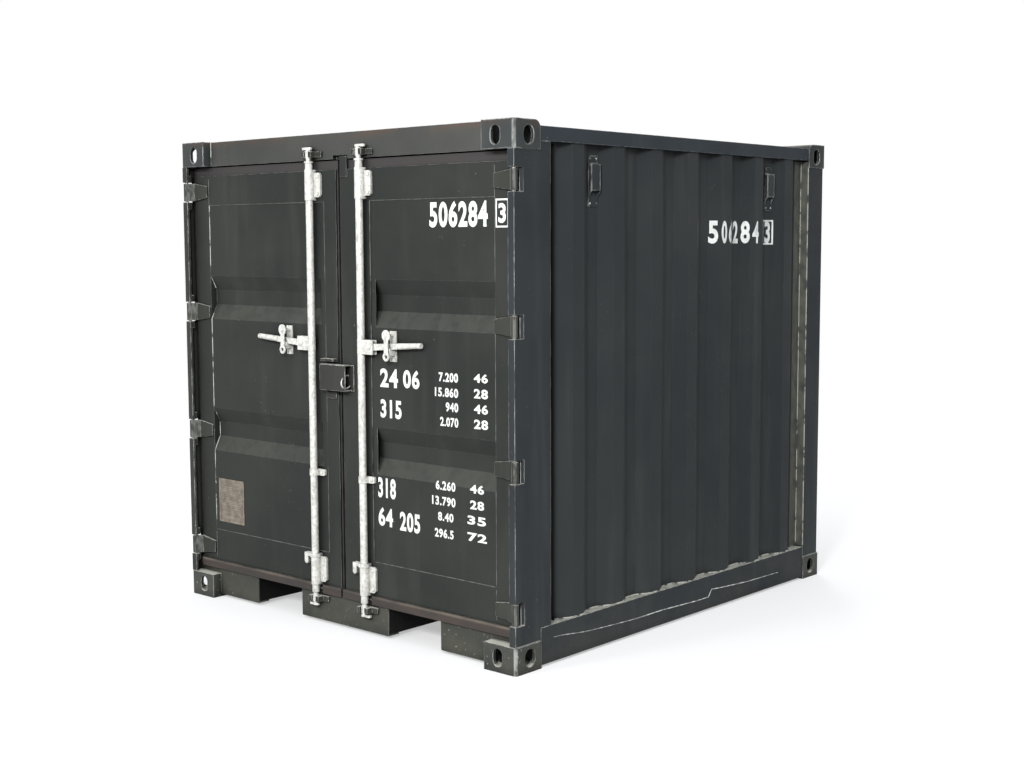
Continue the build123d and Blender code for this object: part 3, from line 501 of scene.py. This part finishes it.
wall_low, wall_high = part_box("right_side_panel")
rib_count, rib_middle, rib_pitch = 7, 0.038, 0.280
rib_flat, rib_slope, rib_depth = 0.072, 0.069, 0.036
valley = wall_high.x - rib_depth
rear_post_x, rear_post_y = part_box("right_rear_post")[1].x, 1.057
front_post_y = -0.933
sealed_low, sealed_high = wall_low.z + 0.004, wall_high.z - 0.006

folds = [(wall_low.y, rib_depth)]
for rib in range(rib_count):
    middle = rib_middle + (rib - (rib_count - 1) / 2) * rib_pitch
    folds += [(middle - rib_flat / 2 - rib_slope, rib_depth), (middle - rib_flat / 2, 0),
              (middle + rib_flat / 2, 0), (middle + rib_flat / 2 + rib_slope, rib_depth)]
folds.append((wall_high.y, rib_depth))

# Pale runs: the weld along the foot of the sheet also paints in the light on the bottom rail's
# ledge in the valleys; the beads at the rear post are sealer.
runs = []
for side in (-1, 1):
    for (y0, depth0), (y1, depth1) in zip(folds, folds[1:]):
        start = (side * (wall_high.x - depth0 + 0.001), y0, wall_low.z + 0.001)
        end = (side * (wall_high.x - depth1 + 0.001), y1, wall_low.z + 0.001)
        runs.append(bead(start, end, 0.0035, 0.002))
    for x, y in ((valley + 0.001, rear_post_y - 0.0015), (rear_post_x - 0.001, rear_post_y)):
        runs.append(bead((side * x, y, sealed_low), (side * x, y, sealed_high),
                         0.0028, 0.001, 0.02))
settle(join(runs), "sheet_welds", "container", sheet_sealer)

# Painted shadow: a near-black strip in the first valley beside each front post stands for the
# shadow that the post casts there.
shadow_strips = [bead((side * valley, front_post_y, sealed_low),
               (side * valley, front_post_y, sealed_high), 0.011, 0.001, 0.02)
          for side in (-1, 1)]
settle(join(shadow_strips), "post_shadow_strip", "container", under_paint)

smear_middle = (wall_low.z + wall_high.z) / 2
smear_height = wall_high.z - wall_low.z - 0.012
on_sheet = (valley - 0.001, valley + 0.0012, 0.990, rear_post_y - 0.002)
on_post = (valley + 0.002, rear_post_x - 0.003, rear_post_y - 0.0012, rear_post_y + 0.001)
smears = [slab((side * (x0 + x1) / 2, (y0 + y1) / 2, smear_middle),
               (x1 - x0, y1 - y0, smear_height))
          for side in (-1, 1) for x0, x1, y0, y1 in (on_sheet, on_post)]
settle(join(smears), "post_sealer", "container", smear_sealer)


# ---- Vent covers ---------------------------------------------------------
# A pressed hood covers each vent high on the walls. It is held by four dome
# headed screws, two above the hood and two below it.

vent_paint = paint("vent_paint", (46, 51, 54), (60, 64, 66), wear_and_glint=1.0, dust_and_top_light=1.0,
                   grime=0.2, edge=0.009, corner_wear_and_glint=0.25, chips=30, shade_reach=0.06)
dress(vent_paint, "vent")

vent_low, vent_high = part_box("side_vents")
flange_x = vent_high.x - 0.018
screws = []
for sign in (-1, 1):
    for y in (-0.662, 0.738):
        for z in (vent_high.z - 0.014, vent_low.z + 0.014):
            for step in (-0.022, 0.022):
                screws.append(dome((sign * flange_x, y + step, z), (sign, 0, 0), 0.006, 0.005))
settle(join(screws), "vent_screws", "container", vent_paint)


# ---- Doors and hinges ----------------------------------------------------
# Each door is a welded frame with a folded sheet on a thin weld, which
# follows the two recesses, and on pale caulk where water would get in. Forged
# blades carry it on plain steel pins.

door_paint = paint("door_paint", (43, 46, 44), (54, 56, 53), dust_and_top_light=0.4, grime=0.4,
                   edge=0.0025, sheet=0.04)
hinge_paint = paint("hinge_paint", (46, 48, 45), (62, 63, 59), wear_and_glint=0.9, dust_and_top_light=0.6,
                    grime=0.4, edge=0.003, corner_wear_and_glint=0.2, chips=60, shade_reach=0.05)
dress(door_paint, "door")
dress(hinge_paint, "hinge")
dress(pin_steel, "pin")
dull_seam = sealer("dull_seam", (98, 100, 96), 0.42, 0.56)

sheet_step = 0.002
leaf_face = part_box("data_plate")[1].y + 0.0003 - sheet_step
recess_middles, recess_depth = (0.848, 1.504), 0.034
recess_floor, recess_mouth = 0.036, 0.106

for side, sign in (("right", 1), ("left", -1)):
    low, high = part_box(f"{side}_door_panel")
    inner, outer = (low.x, high.x) if sign > 0 else (high.x, low.x)
    y = leaf_face + 0.0015
    profile = [(0, low.z)]
    for middle in recess_middles:
        profile += [(0, middle - recess_mouth), (recess_depth, middle - recess_floor),
                    (recess_depth, middle + recess_floor), (0, middle + recess_mouth)]
    profile.append((0, high.z))
    borders = {}
    for border, x in (("inner", inner), ("outer", outer)):
        borders[border] = [bead((x, y + y0, z0), (x, y + y1, z1), 0.0024, 0.0014, 0.014)
                           for (y0, z0), (y1, z1) in zip(profile, profile[1:])]
    dull = borders["inner"] + [
        bead((inner, y, high.z), (outer, y, high.z), 0.0018, 0.001, 0.012),
        bead((inner, y, low.z), (outer, y, low.z), 0.0020, 0.0012, 0.012),
        bead((outer, leaf_face, high.z), (outer, leaf_face, high.z + 0.128), 0.0018, 0.001),
        bead((outer, leaf_face, low.z - 0.140), (outer, leaf_face, low.z - 0.012),
             0.0018, 0.001)]
    if side == "left":
        settle(join(borders["outer"]), "left_panel_caulk", "left_door", caulk)
    else:
        dull += borders["outer"]
    settle(join(dull), f"{side}_panel_welds", f"{side}_door", dull_seam)


# ---- Door seals ----------------------------------------------------------
# A black rubber gasket runs round each door, brown with road dust, with a lip
# that hangs before the sill and catches the most mud.

seal_rubber, tree, shader, place = bare("seal_rubber")
height = parts(tree, place)["Z"]
dust = span(tree, noise(tree, place, 18, 5, (0.3, 1, 1)), 0.34, 0.66)
tone = tint(tree, times(tree, dust, 0.6), screen(42, 39, 40), screen(66, 61, 61))
low = span(tree, height, 0.192, 0.186)
crest = times(tree, low, span(tree, height, 0.172, 0.182))
mud = tint(tree, dust, screen(40, 35, 33), screen(68, 59, 53))
dry_mud = tint(tree, dust, screen(62, 56, 52), screen(112, 104, 94))
mud = tint(tree, crest, mud, dry_mud)
tone = tint(tree, times(tree, low, 0.9), tone, mud)
# Painted shade: the rubber darkens to near black in the gaps it sits in.
tone = tint(tree, times(tree, corner_shade(tree, 0.05), 0.9), tone, screen(8, 8, 8))
skin(tree, shader, tone, span(tree, dust, 0, 1, 0.6, 0.85))
bumps(tree, shader, None, (noise(tree, place, 300, 3), 0.2, 0.0006))
dress(seal_rubber, "gasket")


# ---- Lock gear -----------------------------------------------------------
# The lock rods, guides, handles and catches are forged or tubular steel
# dipped in zinc. The guide plates and handle retainers are bolted through the
# doors, the handles and catches turn on headed pins.

gear_zinc, tree, shader, place = bare("gear_zinc")
grain = noise(tree, place, 70, 4)
tone = tint(tree, span(tree, grain, 0.35, 0.65), screen(206, 205, 199), screen(234, 233, 228))
stain = span(tree, noise(tree, place, 60, 5, (1, 1, 0.4)), 0.5, 0.7)
tone = tint(tree, times(tree, stain, 0.5), tone, screen(140, 136, 124))
# Painted shade: the zinc darkens in the gaps between and behind the parts of the gear.
tone = tint(tree, times(tree, corner_shade(tree, 0.035), 0.85), tone, screen(30, 28, 24))
near, rounded = edges(tree, 0.002)
tone = tint(tree, times(tree, near, 0.5), tone, screen(248, 248, 245))
skin(tree, shader, tone, span(tree, grain, 0.3, 0.7, 0.36, 0.56), 0.15)
bumps(tree, shader, rounded, (noise(tree, place, 240, 3), 0.1, 0.0006))
dress(gear_zinc, "gear")

keeper_paint = paint("keeper_paint", (50, 50, 46), (74, 74, 68), wear_and_glint=1.0, dust_and_top_light=0.8,
                     grime=0.4, edge=0.005, chips=90, shade_reach=0.03)
dress(keeper_paint, "keepers")


def hexagon(centre, radius=0.008, height=0.005):
    """A bolt head facing the front: a hexagon with its corners dressed down."""
    bpy.ops.object.select_all(action="DESELECT")
    bpy.ops.mesh.primitive_cylinder_add(
        vertices=6, radius=radius, depth=height, rotation=(math.pi / 2, 0, 0),
        location=(centre[0], centre[1] - height / 2, centre[2]))
    head = bpy.context.object
    pick(head, "FACE", lambda face: abs(face.normal.z) > 0.9)
    bpy.ops.mesh.bevel(offset=radius * 0.12, segments=1)
    bpy.ops.object.mode_set(mode="OBJECT")
    bpy.ops.object.transform_apply(location=True, rotation=True, scale=True)
    return head


rod_side, rod_y = 0.167, -1.194
guide_face, retainer_face = leaf_face - 0.0133, leaf_face - 0.0043
handle_pin_side, handle_pin_z = 0.229, 1.311
catch_pin_z = 1.368
fork_half = 0.0136

for side, sign in (("right", 1), ("left", -1)):
    rod_x = sign * rod_side
    bolts = [hexagon((rod_x + 0.045, guide_face, z)) for z in (1.992, 2.070, 0.216, 0.302)]
    bolts.append(hexagon((rod_x + 0.044, guide_face, 0.714), 0.0065))
    low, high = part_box(f"{side}_handle_retainer")
    retainer_x = (low.x + high.x) / 2
    for step in (-0.012, 0.012):
        bolts.append(hexagon((retainer_x + step, retainer_face, low.z + 0.009), 0.005, 0.004))
    settle(join(bolts), f"{side}_gear_bolts", f"{side}_door", gear_zinc)
    settle(dome((sign * handle_pin_side, rod_y - fork_half, handle_pin_z), (0, -1, 0),
                0.012, 0.005, 16),
           f"{side}_hub_rivet", f"{side}_rod", gear_zinc)
    catch_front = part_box(f"{side}_catch")[0].y
    settle(dome((retainer_x, catch_front - 0.001, catch_pin_z), (0, -1, 0), 0.009, 0.003, 16),
           f"{side}_catch_rivet", f"{side}_door", gear_zinc)


# ---- Lock box ------------------------------------------------------------
# A welded steel box on the right door laps over a bar on the left one. A
# plain wire ring lies in its open end, where a padlock would go.

dress(chipped_paint, "lock_box", "lock_box_bar")

bpy.ops.object.select_all(action="DESELECT")
bpy.ops.mesh.primitive_torus_add(major_radius=0.026, minor_radius=0.003,
                                 major_segments=40, minor_segments=8)
ring = bpy.context.object
bpy.ops.object.shade_smooth()
ring.matrix_world = (Matrix.Translation((0.062, -1.190, 1.1465))
                     @ Matrix.Rotation(math.radians(82), 4, "Y")
                     @ Matrix.Rotation(math.radians(35), 4, "Z")
                     @ Matrix.Diagonal((1, 1.3, 1, 1)))
settle(ring, "lock_box_ring", "right_door", gear_zinc)


# ---- Data plate ----------------------------------------------------------
# A thin riveted sheet of dull metal on the left door. Its fields are empty
# frames, raised a hair above the sheet.

plate_metal, tree, shader, place = bare("plate_metal")
cloud = noise(tree, place, 30, 5)
tone = tint(tree, span(tree, cloud, 0.36, 0.64), screen(118, 108, 96), screen(150, 141, 128))
skin(tree, shader, tone, span(tree, cloud, 0.3, 0.7, 0.42, 0.62), 0.25)
bumps(tree, shader, None, (noise(tree, place, 180, 3), 0.1, 0.0005))
dress(plate_metal, "plate")

plate_low, plate_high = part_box("data_plate")
rivets = [dome((x, plate_low.y, z), (0, -1, 0), 0.004, 0.003)
          for x in (plate_low.x + 0.008, plate_high.x - 0.008)
          for z in (plate_low.z + 0.008, plate_high.z - 0.008)]
settle(join(rivets), "plate_rivets", "left_door", plate_metal)

plate_print, tree, shader, place = bare("plate_print")
cloud = noise(tree, place, 40, 4)
tone = tint(tree, span(tree, cloud, 0.4, 0.6), screen(64, 56, 48), screen(88, 78, 68))
skin(tree, shader, tone, span(tree, cloud, 0.3, 0.7, 0.5, 0.7))
bumps(tree, shader, None, (cloud, 0.1, 0.0004))


def outline_box(left, bottom, right, upper, line):
    """An upright frame of a given line, cut from a plane by an inset."""
    bpy.ops.object.select_all(action="DESELECT")
    bpy.ops.mesh.primitive_plane_add(size=1)
    box = bpy.context.object
    box.data.transform(Matrix.Translation(((left + right) / 2, 0, (bottom + upper) / 2))
                       @ Matrix.Rotation(math.pi / 2, 4, "X")
                       @ Matrix.Diagonal((right - left, upper - bottom, 1, 1)))
    bpy.ops.object.mode_set(mode="EDIT")
    bpy.ops.mesh.select_mode(type="FACE")
    bpy.ops.mesh.select_all(action="SELECT")
    bpy.ops.mesh.inset(thickness=line, depth=0)
    bpy.ops.mesh.delete(type="FACE")
    bpy.ops.object.mode_set(mode="OBJECT")
    return box


plate_width = plate_high.x - plate_low.x
plate_height = plate_high.z - plate_low.z
fields = []
for left, bottom, right, upper in (
    (0.05, 0.51, 0.95, 0.96), (0.05, 0.05, 0.95, 0.47), (0.09, 0.88, 0.91, 0.93),
    (0.09, 0.79, 0.91, 0.85), (0.09, 0.71, 0.48, 0.76), (0.52, 0.71, 0.91, 0.76),
    (0.09, 0.63, 0.91, 0.68), (0.09, 0.54, 0.48, 0.60), (0.52, 0.54, 0.91, 0.60),
    (0.09, 0.38, 0.48, 0.44), (0.52, 0.38, 0.91, 0.44), (0.09, 0.29, 0.91, 0.35),
    (0.09, 0.20, 0.91, 0.26), (0.09, 0.08, 0.91, 0.17),
):
    field = outline_box(plate_low.x + plate_width * left, plate_low.z + plate_height * bottom,
                        plate_low.x + plate_width * right, plate_low.z + plate_height * upper,
                        0.0012)
    field.data.transform(Matrix.Translation((0, plate_low.y - 0.0003, 0)))
    raised = field.modifiers.new("raised", "SOLIDIFY")
    raised.thickness = 0.0006
    raised.offset = 0
    bpy.ops.object.modifier_apply(modifier="raised")
    fields.append(field)
settle(join(fields), "plate_fields", "left_door", plate_print)


# ---- Painted numbers -----------------------------------------------------
# White stencilled numerals on the right door and the right wall. They are
# plain numbers, in the places where a container carries its markings.

marking_white, tree, shader, place = bare("marking_white")
cloud = noise(tree, place, 18, 5)
tone = tint(tree, span(tree, cloud, 0.4, 0.7), screen(248, 249, 247), screen(228, 229, 225))
thin = span(tree, noise(tree, place, 140, 4), 0.7, 0.78)
tone = tint(tree, times(tree, thin, 0.4), tone, screen(130, 134, 132))
skin(tree, shader, tone, span(tree, cloud, 0.3, 0.7, 0.4, 0.6))
bumps(tree, shader, None, (noise(tree, place, 300, 2), 0.08, 0.0005))


def numerals(text, left, bottom, right, upper):
    """Heavy numerals laid flat in the XZ plane, fitted to a box as a thin sheet of paint."""
    bpy.ops.object.select_all(action="DESELECT")
    bpy.ops.object.text_add()
    words = bpy.context.object
    words.data.body = text
    words.data.offset = 0.035
    words.data.space_character = 1.12
    words.data.resolution_u = 5
    bpy.ops.object.convert(target="MESH")
    words = bpy.context.object
    xs = [v.co.x for v in words.data.vertices]
    ys = [v.co.y for v in words.data.vertices]
    wide = (right - left) / (max(xs) - min(xs))
    tall = (upper - bottom) / (max(ys) - min(ys))
    words.data.transform(Matrix.Translation((left, 0, bottom))
                         @ Matrix.Rotation(math.pi / 2, 4, "X")
                         @ Matrix.Diagonal((wide, tall, 1, 1))
                         @ Matrix.Translation((-min(xs), -min(ys), 0)))
    return words


def lay_on_door(words, y):
    words.data.transform(Matrix.Translation((0, y - 0.0005, 0)))
    return words


door_marks = []
for text, left, bottom, right, upper in (
    ("506284", 0.575, 1.833, 0.910, 1.942),
    ("24", 0.259, 1.136, 0.372, 1.219), ("06", 0.404, 1.140, 0.505, 1.221),
    ("315", 0.259, 1.000, 0.392, 1.082),
    ("7.200", 0.622, 1.182, 0.735, 1.222), ("46", 0.826, 1.190, 0.905, 1.228),
    ("15.860", 0.598, 1.118, 0.735, 1.158), ("28", 0.826, 1.124, 0.905, 1.164),
    ("940", 0.662, 1.056, 0.735, 1.096), ("46", 0.826, 1.060, 0.905, 1.100),
    ("2.070", 0.628, 0.992, 0.735, 1.032), ("28", 0.826, 0.996, 0.905, 1.036),
    ("318", 0.237, 0.640, 0.350, 0.731),
    ("64", 0.237, 0.512, 0.330, 0.597), ("205", 0.374, 0.506, 0.500, 0.592),
    ("6.260", 0.598, 0.716, 0.715, 0.756), ("46", 0.800, 0.722, 0.880, 0.760),
    ("13.790", 0.575, 0.648, 0.715, 0.688), ("28", 0.800, 0.654, 0.880, 0.692),
    ("8.40", 0.610, 0.582, 0.702, 0.620), ("35", 0.784, 0.588, 0.890, 0.626),
    ("296.5", 0.590, 0.508, 0.702, 0.548), ("72", 0.784, 0.516, 0.895, 0.554),
):
    door_marks.append(lay_on_door(numerals(text, left, bottom, right, upper),
                                  leaf_face + sheet_step))
door_marks.append(lay_on_door(numerals("3", 0.970, 1.848, 1.011, 1.928), leaf_face))
door_marks.append(lay_on_door(outline_box(0.955, 1.830, 1.026, 1.946, 0.007), leaf_face))
settle(join(door_marks), "door_numbers", "right_door", marking_white)

wall_marks = [numerals(text, left, 1.759, right, 1.867) for text, left, right in (
    ("5", 0.214, 0.262), ("0", 0.278, 0.322), ("6", 0.338, 0.392), ("2", 0.424, 0.470),
    ("8", 0.494, 0.540), ("4", 0.552, 0.602), ("3", 0.712, 0.764))]
wall_marks.append(outline_box(0.692, 1.752, 0.784, 1.874, 0.008))
wall_text = join(wall_marks)
wall_text.data.transform(Matrix.Translation((1.12, 0, 0)) @ Matrix.Rotation(math.pi / 2, 4, "Z"))
for y, _ in folds[1:-1]:
    bpy.ops.object.select_all(action="DESELECT")
    wall_text.select_set(True)
    bpy.context.view_layer.objects.active = wall_text
    bpy.ops.object.mode_set(mode="EDIT")
    bpy.ops.mesh.select_all(action="SELECT")
    bpy.ops.mesh.bisect(plane_co=(0, y, 0), plane_no=(0, 1, 0))
    bpy.ops.object.mode_set(mode="OBJECT")
wrap = wall_text.modifiers.new("wrap", "SHRINKWRAP")
wrap.target = nodes["right_side_panel"]
wrap.wrap_method = "PROJECT"
wrap.use_project_x = True
wrap.use_project_y = False
wrap.use_project_z = False
wrap.use_negative_direction = True
wrap.use_positive_direction = False
wrap.offset = 0.0006
bpy.ops.object.modifier_apply(modifier="wrap")
settle(wall_text, "wall_numbers", "container", marking_white)


# ---- Studio --------------------------------------------------------------
# A pale floor without an edge, a soft lamp before the doors, a second one to
# the right that draws out the folds of the wall, a third one behind, and an
# even sky that is white where the camera sees it.

def seen_directly(tree):
    """Where a ray of the camera, or its mirror image or view through glass, arrives."""
    rays = tree.nodes.new("ShaderNodeLightPath")
    seen = sums(tree, "MAXIMUM", rays.outputs["Is Camera Ray"], rays.outputs["Is Glossy Ray"])
    return sums(tree, "MAXIMUM", seen, rays.outputs["Is Transmission Ray"])


def blended(tree, share, first, second, target):
    """Mixes two shaders and sends them to the output."""
    blend = tree.nodes.new("ShaderNodeMixShader")
    tree.links.new(share, blend.inputs[0])
    tree.links.new(first, blend.inputs[1])
    tree.links.new(second, blend.inputs[2])
    tree.links.new(blend.outputs[0], target)


bpy.ops.object.select_all(action="DESELECT")
bpy.ops.mesh.primitive_plane_add(size=120)
ground = bpy.context.object
ground.name = "studio_floor"
ground_finish, tree, surface, place = bare("studio_floor")
surface.inputs["Roughness"].default_value = 0.9
surface.inputs["Specular IOR Level"].default_value = 0
seen = seen_directly(tree)
tone = tint(tree, seen, (0.26, 0.26, 0.25, 1), (0.94, 0.94, 0.94, 1))
tree.links.new(tone, surface.inputs["Base Color"])
glow = tree.nodes.new("ShaderNodeEmission")
glow.inputs["Strength"].default_value = 1
away = tree.nodes.new("ShaderNodeVectorMath")
away.operation = "LENGTH"
tree.links.new(place, away.inputs[0])
far = span(tree, away.outputs["Value"], 2.0, 9.0, 0.45, 1.0)
blended(tree, times(tree, seen, far), surface.outputs[0], glow.outputs[0],
        tree.nodes["Material Output"].inputs["Surface"])
ground.data.materials.append(ground_finish)
ground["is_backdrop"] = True

sky = bpy.data.worlds.new("studio_sky")
bpy.context.scene.world = sky
sky.use_nodes = True
tree = sky.node_tree
lit = tree.nodes["Background"]
lit.inputs["Color"].default_value = (0.93, 0.97, 1.0, 1)
height = parts(tree, tree.nodes.new("ShaderNodeTexCoord").outputs["Generated"])["Z"]
tree.links.new(span(tree, height, 0.0, 0.9, 0.22, 1.2), lit.inputs["Strength"])
white = tree.nodes.new("ShaderNodeBackground")
white.inputs["Color"].default_value = (1, 1, 1, 1)
white.inputs["Strength"].default_value = 1
blended(tree, seen_directly(tree), lit.outputs[0], white.outputs[0],
        tree.nodes["World Output"].inputs["Surface"])


def lamp(name, place, aim, size, power):
    bpy.ops.object.light_add(type="AREA", location=place)
    light = bpy.context.object
    light.name = name
    light.data.shape = "DISK"
    light.data.size = size
    light.data.energy = power
    light.rotation_euler = (Vector(aim) - Vector(place)).to_track_quat("-Z", "Y").to_euler()


lamp("rear_lamp", (-5.2, 7.4, 4.8), (0.0, 0.4, 1.0), 2.6, 260)
lamp("front_lamp", (-0.9, -7.8, 4.6), (0.3, -0.6, 1.0), 1.4, 140)
lamp("side_lamp", (4.2, -7.1, 4.0), (0.6, -0.6, 1.1), 1.2, 510)

camera_place = (4.920, -5.530, 1.776)
azimuth, elevation, roll = math.radians(41.66), math.radians(5.66), math.radians(-0.23)
back = Vector((math.sin(azimuth) * math.cos(elevation),
               -math.cos(azimuth) * math.cos(elevation), math.sin(elevation)))
right = Vector((math.cos(azimuth), math.sin(azimuth), 0))
up = back.cross(right)
level_right = right * math.cos(roll) + up * math.sin(roll)
level_up = up * math.cos(roll) - right * math.sin(roll)
turn = Matrix((level_right, level_up, back)).transposed().to_4x4()
bpy.ops.object.camera_add()
camera = bpy.context.object
camera.matrix_world = Matrix.Translation(camera_place) @ turn
camera.data.lens = 50.797
camera.data.sensor_width = 36
bpy.context.scene.camera = camera
bpy.context.scene.view_settings.view_transform = "Standard"

low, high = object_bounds()
